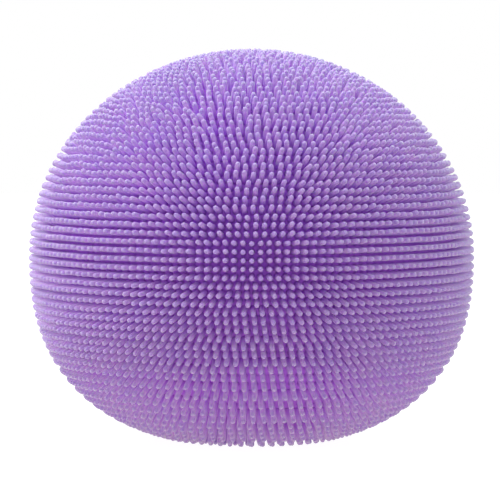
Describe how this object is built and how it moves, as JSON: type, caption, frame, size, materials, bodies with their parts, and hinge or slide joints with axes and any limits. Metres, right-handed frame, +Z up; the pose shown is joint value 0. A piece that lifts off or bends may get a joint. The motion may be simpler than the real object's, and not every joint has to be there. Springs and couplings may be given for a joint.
{
  "type": "massage ball",
  "caption": "Soft squeezable massage ball, its rubber skin covered all over in short round-tipped bristles, filled with gel and slightly sagged, with a flat resting face.",
  "frame": {"origin": "centre of the flat resting face, on the surface that the ball lies on", "axes": "+Z up, along the ball's axis of symmetry, from the filler plug to the crown"},
  "size_m": [0.115, 0.115, 0.1004],
  "materials": {
    "bristle_rubber": "soft translucent lavender thermoplastic rubber, satin, with a faint powdery bloom",
    "skin_rubber": "the same translucent rubber, a deep violet between the bristles",
    "liner_film": "thin clear-tinted elastomer film",
    "gel": "soft translucent gel, almost colourless",
    "plug_rubber": "smooth moulded lavender rubber"
  },
  "bodies": {
    "base": {"outer_skin": "skin_rubber", "inner_liner": "liner_film", "gel_filling": "gel", "filler_plug": "plug_rubber", "bristles_foot": "bristle_rubber", "bristles_lower_1": "bristle_rubber", "bristles_lower_2": "bristle_rubber", "bristles_lower_3": "bristle_rubber", "bristles_lower_4": "bristle_rubber", "bristles_belly_1": "bristle_rubber", "bristles_belly_2": "bristle_rubber"},
    "crown": {"bristles_upper_1": "bristle_rubber", "bristles_upper_2": "bristle_rubber", "bristles_upper_3": "bristle_rubber", "bristles_upper_4": "bristle_rubber", "bristles_upper_5": "bristle_rubber", "bristles_crown": "bristle_rubber"}
  },
  "joints": [
    {"name": "squeeze", "type": "slide", "parent": "base", "child": "crown", "axis": [0, 0, 1], "range_m": [-0.02, 0.004], "stiffness_N_per_m": 1500, "springref_m": 0.0004, "deforming": ["outer_skin", "inner_liner", "gel_filling", "bristles_belly_1", "bristles_belly_2"]}
  ]
}
